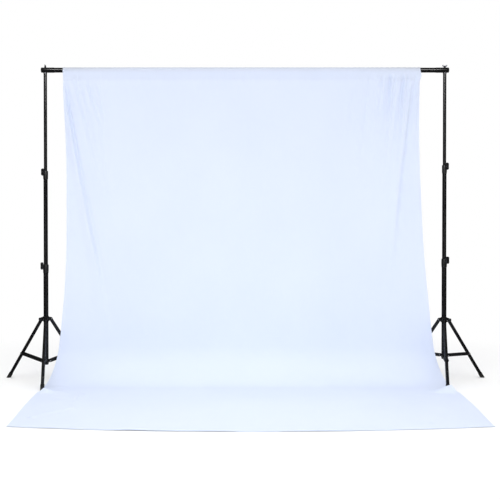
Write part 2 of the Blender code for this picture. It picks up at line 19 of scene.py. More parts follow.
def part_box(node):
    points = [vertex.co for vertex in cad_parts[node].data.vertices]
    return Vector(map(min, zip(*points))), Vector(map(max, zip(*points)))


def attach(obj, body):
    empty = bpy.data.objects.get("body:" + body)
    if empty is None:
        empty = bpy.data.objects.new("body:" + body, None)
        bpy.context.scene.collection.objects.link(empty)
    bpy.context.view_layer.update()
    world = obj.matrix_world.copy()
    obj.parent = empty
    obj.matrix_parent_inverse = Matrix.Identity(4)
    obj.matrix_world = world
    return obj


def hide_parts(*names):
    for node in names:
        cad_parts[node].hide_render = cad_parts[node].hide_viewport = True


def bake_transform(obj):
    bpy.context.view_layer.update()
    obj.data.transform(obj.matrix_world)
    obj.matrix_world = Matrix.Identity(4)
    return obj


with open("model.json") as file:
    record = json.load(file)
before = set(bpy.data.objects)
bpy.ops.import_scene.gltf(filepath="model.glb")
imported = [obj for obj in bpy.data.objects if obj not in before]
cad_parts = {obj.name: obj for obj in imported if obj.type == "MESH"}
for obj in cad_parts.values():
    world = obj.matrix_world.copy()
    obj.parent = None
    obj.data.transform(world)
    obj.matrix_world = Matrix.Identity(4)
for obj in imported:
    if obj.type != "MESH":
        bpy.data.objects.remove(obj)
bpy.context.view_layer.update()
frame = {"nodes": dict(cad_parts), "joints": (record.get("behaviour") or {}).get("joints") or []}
nodes = frame["nodes"]

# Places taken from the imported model.
bar_low, bar_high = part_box("bar_section_2")
PLANE = (bar_low.y + bar_high.y) / 2  # Y of the crossbar and of both stands
BAR_Z = (bar_low.z + bar_high.z) / 2
BAR_R = (bar_high.z - bar_low.z) / 2
cloth_low, cloth_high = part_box("backdrop_cloth")
CLOTH_HALF = (cloth_high.x - cloth_low.x) / 2

# Cloth: thickness, pocket, sweep and run. Y is measured from the bar here, towards the back.
CLOTH = 0.0012
HEM_EXTRA = 0.0009  # how much thicker the turned hems are
HEM_WIDTH = 0.016
POCKET_DROP = 0.071  # the seam, below the bar's centre
POCKET_R = BAR_R + CLOTH / 2 + 0.0007
FLAP = 0.011  # turned edge of the pocket, below its seam, on the back
SHEET_Y = -0.003
SWEEP_R = 0.26
FLOOR_LIFT = cloth_low.z + CLOTH / 2
RUN = PLANE - cloth_low.y - 0.004  # front hem's middle, forward of the bar
HEM_BOW = 0.105  # the hem's corners sit this much further back than its middle
SEAM_Z = BAR_Z - POCKET_DROP
BEND_TOP = FLOOR_LIFT + SWEEP_R
HANG = SEAM_Z - BEND_TOP  # how far the sheet hangs from its seam to the start of the sweep
SHEET_LENGTH = HANG + SWEEP_R * math.pi / 2 + (RUN + SHEET_Y - SWEEP_R)
SPLIT_Z = 1.15  # where the lower sheet meets the upper one
COLUMNS = 420
ROWS = 250

# Half widths to the left and right, as (distance below the seam along the cloth, half width).
LEFT_EDGE = [
    (0, 1.333),
    (0.9, 1.308),
    (1.6, 1.330),
    (1.95, 1.366),
    (2.36, 1.424),
    (2.73, 1.415),
    (3.5, 1.368),
]
RIGHT_EDGE = [
    (0, 1.281),
    (0.5, 1.279),
    (0.9, 1.293),
    (1.6, 1.345),
    (1.95, 1.385),
    (2.36, 1.458),
    (2.73, 1.466),
    (3.5, 1.436),
]


# Curves and noise


def smoothstep(value):
    value = np.clip(value, 0, 1)
    return value * value * (3 - 2 * value)


def ramp(value, low, high):
    """0 below low, 1 above high, smooth between."""
    return smoothstep((value - low) / (high - low))


def bell(value, centre, width):
    return np.exp(-0.5 * ((value - centre) / width) ** 2)


def through(points, at):
    """A smooth curve through (position, value) points, constant beyond the first and last."""
    xs = np.array([p[0] for p in points], float)
    ys = np.array([p[1] for p in points], float)
    slopes = np.gradient(ys, xs)
    i = np.clip(np.searchsorted(xs, at) - 1, 0, len(xs) - 2)
    span = xs[i + 1] - xs[i]
    t = np.clip((at - xs[i]) / span, 0, 1)
    a = ys[i] * (1 + 2 * t) * (1 - t) ** 2 + slopes[i] * span * t * (1 - t) ** 2
    b = ys[i + 1] * t * t * (3 - 2 * t) - slopes[i + 1] * span * t * t * (1 - t)
    return a + b


# Kinds of unevenness: size of the lumps across and along the cloth, and the seed of their noise.
PLEAT_DRIFT = (0.25, 0.5, 11)
PLEAT_PATCHES = (0.08, 0.6, 12)
SLOW_WAVES = (0.34, 1.3, 21)
SMALL_WAVES = (0.075, 0.16, 22)
FINE_WAVES = (0.030, 0.045, 23)
FLOOR_LUMPS = (0.11, 0.16, 31)
FLOOR_SWELLS = (0.38, 0.24, 32)
FRONT_LIP = (0.16, 1, 33)
LEFT_WANDER = (1, 0.42, 41)
RIGHT_WANDER = (1, 0.42, 42)
POCKET_SLACK = (0.2, 1, 51)

LATTICE = 64  # the noise repeats after this many lumps
LATTICE_START = 20.0  # which lump lies at zero


def soft_noise(x, y, size_x, size_y, seed):
    """Smooth noise between -1 and 1, with lumps of about size_x by size_y."""
    lattice = np.random.default_rng(seed).uniform(-1, 1, (LATTICE, LATTICE))
    gx = x / size_x + LATTICE_START
    gy = y / size_y + LATTICE_START
    ix = np.floor(gx).astype(int)
    iy = np.floor(gy).astype(int)
    tx = smoothstep(gx - ix)
    ty = smoothstep(gy - iy)
    a = lattice[ix % LATTICE, iy % LATTICE]
    b = lattice[(ix + 1) % LATTICE, iy % LATTICE]
    c = lattice[ix % LATTICE, (iy + 1) % LATTICE]
    d = lattice[(ix + 1) % LATTICE, (iy + 1) % LATTICE]
    return (a * (1 - tx) + b * tx) * (1 - ty) + (c * (1 - tx) + d * tx) * ty


# The cloth's plain path


def sheet_path(down):
    """Y from the bar, Z, and the front normal's Y and Z, at a distance below the seam."""
    turn = np.clip((down - HANG) / SWEEP_R, 0, math.pi / 2)
    floor = np.clip(down - HANG - SWEEP_R * math.pi / 2, 0, None)
    y = SHEET_Y - SWEEP_R * (1 - np.cos(turn)) - floor
    z = np.where(down < HANG, SEAM_Z - down, BEND_TOP - SWEEP_R * np.sin(turn))
    return y, z, -np.cos(turn), np.sin(turn)


# Folds of the hanging sheet. X runs across, down is the distance below the seam.

PLEATS = [(0.049, 1.0, 1.0), (0.032, 0.7, 2.6), (0.083, 0.9, 0.0)]  # spacing, weight and phase
LEFT_LEAN = 0.20  # how far the pleats run inwards per metre down
RIGHT_LEAN = 0.11
PLEAT_WANDER = 0.014
MIDDLE_DEPTH = 0.0010  # of the pleats between the two bunched sides
MIDDLE_REACH = 0.07


def pleat_depth(outward, down, depth, start, full, reach):
    """Depth of one side's pleats: none at start from the cloth's middle, all from full outwards."""
    return depth * ramp(outward, start, full) * np.exp(-((down / reach) ** 2))


def gathers(x, down):
    """Fine pleats where the cloth is bunched on the bar, dying out downwards and drawn to the corners."""
    slant = np.where(x > 0, RIGHT_LEAN, -LEFT_LEAN) * down
    drift = x + slant + PLEAT_WANDER * soft_noise(x, down, *PLEAT_DRIFT)
    waves = sum(weight * np.sin(drift * 2 * math.pi / spacing + phase) for spacing, weight, phase in PLEATS)
    waves = waves / sum(weight for _, weight, _ in PLEATS)
    patchy = 0.60 + 0.40 * soft_noise(x + slant, down, *PLEAT_PATCHES)
    right = pleat_depth(x + slant, down, depth=0.0160, start=0.70, full=1.14, reach=0.46)
    left = pleat_depth(-x - slant, down, depth=0.0040, start=0.92, full=1.28, reach=0.30)
    middle = MIDDLE_DEPTH * np.exp(-down / MIDDLE_REACH)
    return waves * patchy * (right + left + middle)


# The section of a drag fold, in widths of the fold: a gentle side, a steep side and a valley beyond it.
GENTLE_SIDE = 1.7
STEEP_SIDE = 0.50
VALLEY_PLACE = 1.35
VALLEY_WIDTH = 0.60
VALLEY_DEPTH = 0.35  # of the fold's height
FOLD_WIDENING = 0.5  # per metre down

# Drag folds: a line of (down, x) points, the height and the width.
DRAG_FOLDS = [
    # pulled from the left corner, from the steepest to the most slanted
    (
        [(0.02, -1.332), (0.15, -1.314), (0.51, -1.254), (1.02, -1.157), (1.64, -1.046), (1.95, -1.010)],
        0.0205,
        0.0125,
    ),
    ([(0.00, -1.262), (0.29, -1.196), (0.51, -1.146), (0.69, -1.099), (0.95, -1.040)], 0.0150, 0.024),
    ([(0.02, -1.170), (0.22, -1.112), (0.34, -1.074), (0.55, -1.045)], 0.0110, 0.017),
    ([(0.00, -1.088), (0.20, -1.064), (0.42, -1.050)], 0.0085, 0.014),
    ([(0.35, -1.085), (0.75, -1.030), (1.15, -0.985)], 0.0050, 0.022),
    # falling from the right corner
    ([(0.00, 1.216), (0.29, 1.183), (0.73, 1.131), (1.10, 1.098), (1.60, 1.062)], 0.0185, 0.017),
    ([(0.02, 1.130), (0.45, 1.078), (0.95, 1.030)], 0.0080, 0.020),
    ([(0.04, 1.010), (0.40, 0.965), (0.80, 0.925)], 0.0060, 0.022),
    ([(0.04, 0.880), (0.30, 0.850), (0.60, 0.830)], 0.0045, 0.020),
    ([(0.04, 0.775), (0.25, 0.755), (0.50, 0.740)], 0.0035, 0.018),
]


def drag_fold(x, down, line, height, width):
    """A pulled fold. It rises gently from its left and falls steeply, and fades out over its lower half."""
    start, end = line[0][0], line[-1][0]
    spread = width * (1 + FOLD_WIDENING * (down - start))
    across = (x - through(line, down)) / spread
    rise = np.where(across < 0, bell(across, 0, GENTLE_SIDE), bell(across, 0, STEEP_SIDE))
    valley = VALLEY_DEPTH * bell(across, VALLEY_PLACE, VALLEY_WIDTH)
    fade = ramp(down, start - 0.03, start + 0.08) * (1 - ramp(down, end - 0.5 * (end - start), end))
    return height * (rise - valley) * fade


SLOW_HEIGHT = 0.0065
SMALL_HEIGHT = 0.0009
FINE_HEIGHT = 0.0004
CALM = 0.25  # the slow waves die out from this far above the sweep to this far into it


def broad_waves(x, down):
    """Slow, mostly upright waves of the hanging sheet, and small unevenness all over."""
    hanging = 1 - ramp(down, HANG - CALM, HANG + CALM)
    slow = SLOW_HEIGHT * soft_noise(x, down, *SLOW_WAVES) * ramp(down, 0, 0.5)
    small = SMALL_HEIGHT * soft_noise(x, down, *SMALL_WAVES)
    fine = FINE_HEIGHT * soft_noise(x, down, *FINE_WAVES)
    return hanging * slow + small + fine


EDGE_WANDER = 0.010
EDGE_BAND = 0.11  # width of the cloth that follows its wandering edge


def edge_curl(inside, down, kind):
    """How far a free side edge wanders forward and back."""
    wander = EDGE_WANDER * soft_noise(down * 0, down, *kind)
    return wander * (1 - ramp(inside, 0, EDGE_BAND)) * ramp(down, 0, 0.15)


# The part that lies on the floor. Y is measured from the bar.

LUMP_HEIGHT = 0.0016
SWELL_HEIGHT = 0.0030
LIP_HEIGHT = 0.0013  # of the front hem
LIP_WIDTH = 0.035

# Creases: a line of (x, y) points, the height and the width.
FLOOR_CREASES = [
    ([(-1.278, -1.09), (-1.170, -0.93), (-1.081, -0.843)], 0.0085, 0.013),
    ([(-1.115, -0.64), (-1.105, -0.46)], 0.0065, 0.011),
    ([(-1.360, -0.420), (-1.235, -0.410)], 0.0065, 0.010),
    ([(-1.275, -0.540), (-1.195, -0.530)], 0.0055, 0.009),
    ([(-1.390, -0.245), (-1.270, -0.250)], 0.0060, 0.012),
    ([(-1.300, -0.700), (-1.200, -0.660)], 0.0045, 0.012),
    ([(0.050, -1.270), (0.046, -0.45)], 0.0015, 0.008),
    ([(0.50, -1.300), (0.53, -1.12)], 0.0022, 0.009),
    ([(1.180, -0.500), (1.290, -0.46)], 0.0030, 0.012),
    ([(1.100, -1.200), (1.240, -1.080)], 0.0028, 0.014),
]


def crease(x, y, line, height, width):
    """A soft ridge along a line of points on the floor."""
    total = np.zeros_like(x)
    for (x0, y0), (x1, y1) in zip(line, line[1:]):
        dx, dy = x1 - x0, y1 - y0
        length = math.hypot(dx, dy)
        along = np.clip(((x - x0) * dx + (y - y0) * dy) / length**2, 0, 1)
        off = np.hypot(x - x0 - along * dx, y - y0 - along * dy)
        total = np.maximum(total, np.exp(-0.5 * (off / width) ** 2))
    return height * total


def floor_relief(x, y, hem_gap):
    """Height of the lying cloth above its lowest level: lumps, swells, a lifted front hem and creases."""
    lying = ramp(-y, 0.12, 0.34)
    lumps = LUMP_HEIGHT * (1 + soft_noise(x, y, *FLOOR_LUMPS))
    swell = SWELL_HEIGHT * np.clip(soft_noise(x, y, *FLOOR_SWELLS), 0, 1)
    lip = LIP_HEIGHT * (1 + soft_noise(x, y * 0, *FRONT_LIP)) * np.exp(-((hem_gap / LIP_WIDTH) ** 2))
    relief = lumps + swell + lip
    for line, height, width in FLOOR_CREASES:
        relief = relief + crease(x, y, line, height, width)
    return relief * lying


# The feet at the front of each stand: the cloth is tucked round them and rises just ahead of them.

TUCK = 0.018  # clear space between the cloth and a foot
TUCK_LENGTH = 0.030  # along the cloth's edge
CROWDING = 0.010  # how far the cloth just inside the tuck is pushed inwards
BUNCH_AHEAD = 0.075  # from the foot's middle to the top of the fold in front of it
BUNCH_LENGTH = 0.026
BUNCH_WIDTH = 0.060


def front_foot(side, sign, bunch_height):
    """A front foot's middle, with Y from the bar, how far out the cloth may reach beside it, and how
    high the cloth rises in front of it."""
    low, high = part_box(f"{side}_foot_front")
    return {
        "sign": sign,
        "x": (low.x + high.x) / 2,
        "y": (low.y + high.y) / 2 - PLANE,
        "inner": min(abs(low.x), abs(high.x)) - TUCK,
        "bunch_height": bunch_height,
    }


FRONT_FEET = [front_foot("left", -1, 0.034), front_foot("right", 1, 0.048)]


def tuck(x, y):
    """How far the cloth's edge is drawn inwards beside a front foot."""
    shift = np.zeros_like(x)
    for foot in FRONT_FEET:
        outward = foot["sign"] * x
        over = np.clip(outward - foot["inner"], 0, None)
        near = np.clip(1.12 * bell(y, foot["y"], TUCK_LENGTH), 0, 1)
        shift -= foot["sign"] * over * near
        crowd = bell(outward, foot["inner"] - 0.02, 0.05) * bell(y, foot["y"], 0.035)
        shift -= foot["sign"] * CROWDING * crowd
    return shift


def bunch(x, y, inside):
    """The fold that stands up in front of each front foot, level with the floor at the cloth's edge."""
    rise = np.zeros_like(x)
    for foot in FRONT_FEET:
        ahead = bell(y, foot["y"] - BUNCH_AHEAD, BUNCH_LENGTH)
        rise += foot["bunch_height"] * ahead * bell(x, foot["x"], BUNCH_WIDTH)
    return rise * ramp(inside, 0.0, 0.05)


# The whole cloth as one grid: rows from the pocket's turned edge to the front hem

HEM_COLUMNS = np.array([0.0, 0.12, 0.88, 0.97, 1.05])  # places in a side hem, in hem widths
HEM_STEP = (HEM_WIDTH * 0.90, HEM_WIDTH * 1.02)  # where a hem's extra thickness ends
HEM_BOW_POWER = 2.2
HEM_BOW_LENGTH = 0.9
CLOSE_ROWS = 0.16  # below the seam, where rows are 8 mm apart


def column_places():
    """Places across the cloth from -1 to 1, closer together where it is gathered."""
    fine = np.linspace(-1, 1, 4001)
    density = 1 + 1.1 * ramp(fine, 0.50, 0.62) + 1.3 * ramp(-fine, 0.70, 0.80)
    total = np.concatenate([[0], np.cumsum((density[1:] + density[:-1]) / 2)])
    places = np.interp(np.linspace(0, total[-1], COLUMNS), total, fine)
    edge = HEM_WIDTH / CLOTH_HALF
    hem = HEM_COLUMNS * edge
    inner = places[np.abs(places) < 1 - 1.3 * edge]
    return np.concatenate([-1 + hem, inner, 1 - hem[::-1]])


def row_places():
    """Distances below the seam, closer together near the pocket and the front hem."""
    top = np.arange(0, CLOSE_ROWS, 0.008)
    middle = np.linspace(CLOSE_ROWS, SHEET_LENGTH - 0.06, ROWS)
    hem = np.array([1.05, 0.97, 0.88]) * HEM_WIDTH
    end = SHEET_LENGTH - np.concatenate([[0.045, 0.030], hem, [0.002, 0]])
    rows = np.concatenate([top, middle, end])
    split = np.argmin(np.abs(rows - (SEAM_Z - SPLIT_Z)))
    rows[split] = SEAM_Z - SPLIT_Z
    return rows, split


def edge_x(across, down):
    """X of a place across the cloth, from -1 at its left edge to 1 at its right one."""
    left = -through(LEFT_EDGE, down)
    right = through(RIGHT_EDGE, down)
    return left + (right - left) * (across + 1) / 2


def sheet_points(across, down):
    """Middle surface of the sheet below the seam."""
    x = edge_x(across, down)
    bowed = ramp(down, SHEET_LENGTH - HEM_BOW_LENGTH, SHEET_LENGTH)
    hem_back = HEM_BOW * np.abs(across) ** HEM_BOW_POWER * bowed
    y, z, normal_y, normal_z = sheet_path(down)
    hanging = 1 - ramp(down, HANG, HANG + SWEEP_R * 1.3)
    push = gathers(x, down) + broad_waves(x, down)
    for line, height, width in DRAG_FOLDS:
        push = push + drag_fold(x, down, line, height, width)
    inside_left = x - edge_x(-1 + 0 * across, down)
    inside_right = edge_x(1 + 0 * across, down) - x
    push = push + edge_curl(inside_left, down, LEFT_WANDER) + edge_curl(inside_right, down, RIGHT_WANDER)
    push = push * hanging
    y = y + hem_back
    inside = np.minimum(inside_left, inside_right)
    lift = floor_relief(x, y, SHEET_LENGTH - down) + bunch(x, y, inside)
    x = x + tuck(x, y)
    y = y + push * normal_y
    z = z + push * np.clip(normal_z, 0, 1) + lift
    return np.stack([x, y + PLANE, np.maximum(z, FLOOR_LIFT)], axis=-1)


def pocket_outline():
    """The pocket's section from its turned edge: up the back, over the bar and down to the seam."""
    start = math.radians(-12)
    turn = np.linspace(start, math.pi - start, 21)
    loop_y = POCKET_R * np.cos(turn)
    loop_z = BAR_Z + POCKET_R * np.sin(turn)
    back_y = SHEET_Y + CLOTH + 0.0002
    flap = np.linspace(SEAM_Z - FLAP, SEAM_Z, 3)
    climb = np.linspace(SEAM_Z, loop_z[0], 9)[1:-1]
    drop = np.linspace(loop_z[-1], SEAM_Z, 10)[1:]
    climb_y = back_y + (loop_y[0] - back_y) * ((climb - SEAM_Z) / (loop_z[0] - SEAM_Z))
    drop_y = loop_y[-1] + (SHEET_Y - loop_y[-1]) * ((loop_z[-1] - drop) / (loop_z[-1] - SEAM_Z))
    ys = np.concatenate([[back_y] * len(flap), climb_y, loop_y, drop_y])
    zs = np.concatenate([flap, climb, loop_z, drop])
    return ys, zs


FLARE = 0.012  # how far the pocket's right end sticks out, just under the bar
SLACK_HEIGHT = 0.0011
SLACK_SPACING = 0.037


def pocket_points(across):
    """Middle surface of the rod pocket, rippled above its seam and a little slack round the bar."""
    ys, zs = pocket_outline()
    y = ys[:, None] + 0 * across[None, :]
    z = zs[:, None] + 0 * across[None, :]
    x = edge_x(across, 0 * across)[None, :] + 0 * y
    at_right_end = np.clip(across, 0, 1)[None, :] ** 40
    x = x + FLARE * at_right_end * bell(z, BAR_Z - 0.04, 0.018)
    ripple = gathers(x, 0 * x) + broad_waves(x, 0 * x)
    low = 1 - ramp(z, SEAM_Z, BAR_Z - 0.020)
    phase = 3 * soft_noise(x, 0 * x, *POCKET_SLACK)
    slack = SLACK_HEIGHT * (1 + np.sin(x * 2 * math.pi / SLACK_SPACING + phase))
    slack = slack * (0.45 + 0.55 * ramp(x, 0.5, 1.0)) * ramp(z, BAR_Z - 0.045, BAR_Z - 0.005)
    from_bar = np.maximum(np.hypot(y, z - BAR_Z), 1e-6)
    out_y = y / from_bar
    out_z = (z - BAR_Z) / from_bar
    y = y - ripple * low + slack * out_y
    z = z + slack * out_z * 0.6
    return np.stack([x, y + PLANE, z], axis=-1)


def surface_normals(points):
    """Front-facing normals of a grid of points."""
    along = np.gradient(points, axis=0)
    across = np.gradient(points, axis=1)
    normal = np.cross(along, across)
    return normal / np.linalg.norm(normal, axis=-1, keepdims=True)


def hem_thickness(across, from_end):
    """Cloth thickness, more at the turned hems. from_end is the distance from the front hem's edge."""
    side = 1 - ramp((1 - np.abs(across)) * CLOTH_HALF, *HEM_STEP)
    front = 1 - ramp(from_end, *HEM_STEP)
    return CLOTH + HEM_EXTRA * np.maximum(side, front)


def cloth_grid():
    """Middle points, normals and thickness of the whole cloth, and the rows of the seam and the split."""
    across = column_places()
    rows, split = row_places()
    pocket = pocket_points(across)
    sheet = sheet_points(*np.meshgrid(across, rows))
    points = np.concatenate([pocket, sheet[1:]])
    from_end = np.concatenate([np.full(len(pocket), SHEET_LENGTH), SHEET_LENGTH - rows[1:]])
    thickness = hem_thickness(*np.meshgrid(across, from_end))
    seam = len(pocket) - 1
    return (points, surface_normals(points), thickness), seam, seam + split


def part_of(grid, rows, columns=slice(None)):
    """The same rows and columns of the grid's points, normals and thickness."""
    return [values[rows, columns] for values in grid]


# Meshes


def add_object(name, data):
    obj = bpy.data.objects.new(name, data)
    bpy.context.scene.collection.objects.link(obj)
    return obj


def smooth_mesh(name, verts, faces, finish):
    mesh = bpy.data.meshes.new(name)
    mesh.from_pydata(verts, [], faces)
    mesh.shade_smooth()
    mesh.materials.append(finish)
    return mesh


def ring_quads(rings, sides):
    """Faces between rings of points, where each ring's points follow those of the ring before."""
    quads = []
    for ring in range(rings - 1):
        low, high = ring * sides, (ring + 1) * sides
        for i in range(sides):
            j = (i + 1) % sides
            quads.append((low + i, low + j, high + j, high + i))
    return quads


def face_normals(corners):
    """Unit normals of four-sided faces, from the places of their corners."""
    normals = np.cross(corners[:, 2] - corners[:, 0], corners[:, 3] - corners[:, 1])
    return normals / np.maximum(np.linalg.norm(normals, axis=1, keepdims=True), 1e-12)


def shell_faces(rows, cols):
    """Front, back and rim faces of a closed sheet. Its back points are numbered after its front ones."""
    index = np.arange(rows * cols).reshape(rows, cols)
    a, b, c, d = index[:-1, :-1], index[1:, :-1], index[1:, 1:], index[:-1, 1:]
    front = np.stack([a, b, c, d], axis=-1).reshape(-1, 4)
    back = front[:, ::-1] + rows * cols
    loop = np.concatenate([index[0, :-1], index[:-1, -1], index[-1, :0:-1], index[:0:-1, 0]])
    after = np.roll(loop, -1)
    rim = np.stack([loop, after, after + rows * cols, loop + rows * cols], axis=-1)
    return front, back, rim


def shell(name, points, normals, thickness, finish):
    """A closed sheet of the given thickness round a grid of middle points."""
    offset = normals * thickness[..., None] / 2
    verts = np.concatenate([(points + offset).reshape(-1, 3), (points - offset).reshape(-1, 3)])
    verts[:, 2] = np.maximum(verts[:, 2], cloth_low.z)
    front, back, rim = shell_faces(*points.shape[:2])
    faces = np.concatenate([front, back, rim])
    shading = np.concatenate([normals.reshape(-1, 3), -normals.reshape(-1, 3)])
    corners = shading[faces.reshape(-1)].reshape(-1, 4, 3)
    corners[len(front) + len(back) :] = face_normals(verts[rim])[:, None, :]
    mesh = smooth_mesh(name, verts.tolist(), faces.tolist(), finish)
    mesh.normals_split_custom_set(corners.reshape(-1, 3).tolist())
    return add_object(name, mesh)


STITCH = 0.0048  # from one stitch to the next
STITCH_LENGTH = 0.72 * STITCH
THREAD_R = 0.00045
THREAD_SIDES = 5
# Stations of a stitch: place along it, in stitch lengths, and size and rise, in thread radii.
STITCH_SHAPE = [(-0.50, 0.3, -0.9), (-0.34, 1.0, 0.2), (0.0, 1.1, 0.5), (0.34, 1.0, 0.2), (0.50, 0.3, -0.9)]


def values_at(at, reached, values):
    """Three-part values along a line, at some distances from its start."""
    return np.stack([np.interp(at, reached, values[:, k]) for k in range(3)], axis=1)


def stitch_line(points, normals, thickness):
    """Places, surface normals and directions of evenly spaced stitches along a line of cloth points."""
    surface = points + normals * thickness[:, None] / 2
    steps = np.linalg.norm(np.diff(surface, axis=0), axis=1)
    reached = np.concatenate([[0], np.cumsum(steps)])
    at = np.arange(STITCH, reached[-1] - STITCH / 2, STITCH)
    head = values_at(at + STITCH_LENGTH / 2, reached, surface)
    tail = values_at(at - STITCH_LENGTH / 2, reached, surface)
    out = values_at(at, reached, normals)
    along = head - tail
    along /= np.maximum(np.linalg.norm(along, axis=1, keepdims=True), 1e-9)
    return (head + tail) / 2, out, along


def thread_faces(count):
    """Faces of a number of stitches, each a tube closed at both ends."""
    per_stitch = len(STITCH_SHAPE) * THREAD_SIDES
    first_cap = list(range(THREAD_SIDES))[::-1]
    last_cap = [per_stitch - THREAD_SIDES + i for i in range(THREAD_SIDES)]
    first = (np.arange(count) * per_stitch)[:, None, None]
    quads = np.array(ring_quads(len(STITCH_SHAPE), THREAD_SIDES))[None] + first
    caps = np.array([first_cap, last_cap])[None] + first
    return quads.reshape(-1, 4).tolist() + caps.reshape(-1, THREAD_SIDES).tolist()


def stitches(name, lines, finish):
    """Short threads lying on the cloth along some lines, each dipping into it at both ends."""
    centres, normals, along = (np.concatenate(part) for part in zip(*lines))
    side = np.cross(along, normals)
    rings = []
    for place, size, rise in STITCH_SHAPE:
        middle = centres + along * (STITCH_LENGTH * place) + normals * (THREAD_R * rise)
        for angle in np.linspace(0, 2 * math.pi, THREAD_SIDES, endpoint=False):
            spoke = side * math.cos(angle) + normals * math.sin(angle)
            rings.append(middle + spoke * (THREAD_R * size))
    verts = np.stack(rings, axis=1).reshape(-1, 3)
    verts[:, 2] = np.maximum(verts[:, 2], cloth_low.z)
    return add_object(name, smooth_mesh(name, verts.tolist(), thread_faces(len(centres)), finish))


# Materials. Noise scales are in lumps per metre, roughly, and widths and distances in metres.

BLACK_ENAMEL = (0.0040, 0.0040, 0.0045)
BAR_ENAMEL = (0.0045, 0.0045, 0.0050)
WORN_ENAMEL = (0.09, 0.09, 0.093)
WORN_COATING = (0.12, 0.12, 0.125)
CLOTH_COLOUR = (0.765, 0.828, 0.975)


def times(colour, factors):
    """A colour times a number, or times three numbers, one for each channel."""
    factors = factors if isinstance(factors, tuple) else (factors,) * 3
    return tuple(c * f for c, f in zip(colour, factors))


class Shader:
    """A material under construction: short names for the nodes that the finishes share."""

    def __init__(self, name):
        self.material = bpy.data.materials.new(name)
        self.material.use_nodes = True
        self.tree = self.material.node_tree
        self.surface = self.tree.nodes["Principled BSDF"]
        self.place = self.add("ShaderNodeTexCoord").outputs["Object"]

    def add(self, kind, **settings):
        node = self.tree.nodes.new(kind)
        for key, value in settings.items():
            setattr(node, key, value)
        return node

    def link(self, source, target):
        self.tree.links.new(source, target)

    def set(self, **values):
        for key, value in values.items():
            self.surface.inputs[key.replace("_", " ")].default_value = value

    def colour(self, source):
        self.link(source, self.surface.inputs["Base Color"])

    def roughness(self, grain, low, high):
        """Roughness from low to high, following a grain."""
        self.link(self.spread(grain, low, high), self.surface.inputs["Roughness"])

    def noise(self, scale, detail=3.0, stretch=None):
        node = self.add("ShaderNodeTexNoise")
        node.inputs["Scale"].default_value = scale
        node.inputs["Detail"].default_value = detail
        place = self.place
        if stretch:
            mapping = self.add("ShaderNodeMapping")
            mapping.inputs["Scale"].default_value = stretch
            self.link(place, mapping.inputs["Vector"])
            place = mapping.outputs["Vector"]
        self.link(place, node.inputs["Vector"])
        return node.outputs["Fac"]

    def waves(self, scale, direction):
        """Slightly uneven bands across a direction, each 0.31 m wide at a scale of 1."""
        node = self.add("ShaderNodeTexWave", wave_type="BANDS", bands_direction=direction)
        node.inputs["Scale"].default_value = scale
        node.inputs["Distortion"].default_value = 0.6
        node.inputs["Detail Scale"].default_value = 2.0
        self.link(self.place, node.inputs["Vector"])
        return node.outputs["Fac"]

    def spread(self, source, low, high, start=0.3, end=0.7):
        """Source, from start to end, mapped onto low to high."""
        node = self.add("ShaderNodeMapRange")
        node.inputs["From Min"].default_value = start
        node.inputs["From Max"].default_value = end
        node.inputs["To Min"].default_value = low
        node.inputs["To Max"].default_value = high
        self.link(source, node.inputs["Value"])
        return node.outputs["Result"]

    def patches(self, scale, detail=3.0, stretch=None):
        """Noise spread over the whole range from 0 to 1."""
        return self.spread(self.noise(scale, detail, stretch), 0.0, 1.0)

    def mix(self, factor, first, second):
        """A colour from first, where factor is 0, to second, where it is 1."""
        node = self.add("ShaderNodeMix", data_type="RGBA")
        self.link(factor, node.inputs["Factor"])
        for value, name in ((first, "A"), (second, "B")):
            socket = [s for s in node.inputs if s.name == name and s.type == "RGBA"][0]
            if isinstance(value, tuple):
                socket.default_value = (*value, 1)
            else:
                self.link(value, socket)
        return [s for s in node.outputs if s.type == "RGBA"][0]

    def maths(self, operation, first, second):
        node = self.add("ShaderNodeMath", operation=operation)
        for value, socket in ((first, node.inputs[0]), (second, node.inputs[1])):
            if isinstance(value, (int, float)):
                socket.default_value = value
            else:
                self.link(value, socket)
        return node.outputs["Value"]

    def coordinates(self):
        """The outputs X, Y and Z of the place on the object."""
        split = self.add("ShaderNodeSeparateXYZ")
        self.link(self.place, split.inputs["Vector"])
        return split.outputs

    def worn_edges(self, width, grain):
        """1 on rubbed edges, 0 on flat places."""
        inner = self.add("ShaderNodeBevel", samples=4)
        inner.inputs["Radius"].default_value = width
        geometry = self.add("ShaderNodeNewGeometry")
        dot = self.add("ShaderNodeVectorMath", operation="DOT_PRODUCT")
        self.link(inner.outputs["Normal"], dot.inputs[0])
        self.link(geometry.outputs["Normal"], dot.inputs[1])
        edge = self.spread(dot.outputs["Value"], 1.0, 0.0, start=0.78, end=0.95)
        return self.maths("MULTIPLY", edge, self.spread(grain, 0.0, 0.8, start=0.48, end=0.66))

    def bump(self, height, strength, distance):
        node = self.add("ShaderNodeBump")
        node.inputs["Strength"].default_value = strength
        node.inputs["Distance"].default_value = distance
        self.link(height, node.inputs["Height"])
        self.link(node.outputs["Normal"], self.surface.inputs["Normal"])
        return node.outputs["Normal"]

    def mixed_output(self, factor, first, second):
        """A mix of two shaders, as the material's surface. The factor is a number or an output."""
        both = self.add("ShaderNodeMixShader")
        if isinstance(factor, float):
            both.inputs["Fac"].default_value = factor
        else:
            self.link(factor, both.inputs["Fac"])
        self.link(first, both.inputs[1])
        self.link(second, both.inputs[2])
        self.link(both.outputs["Shader"], self.tree.nodes["Material Output"].inputs["Surface"])
        return both.outputs["Shader"]


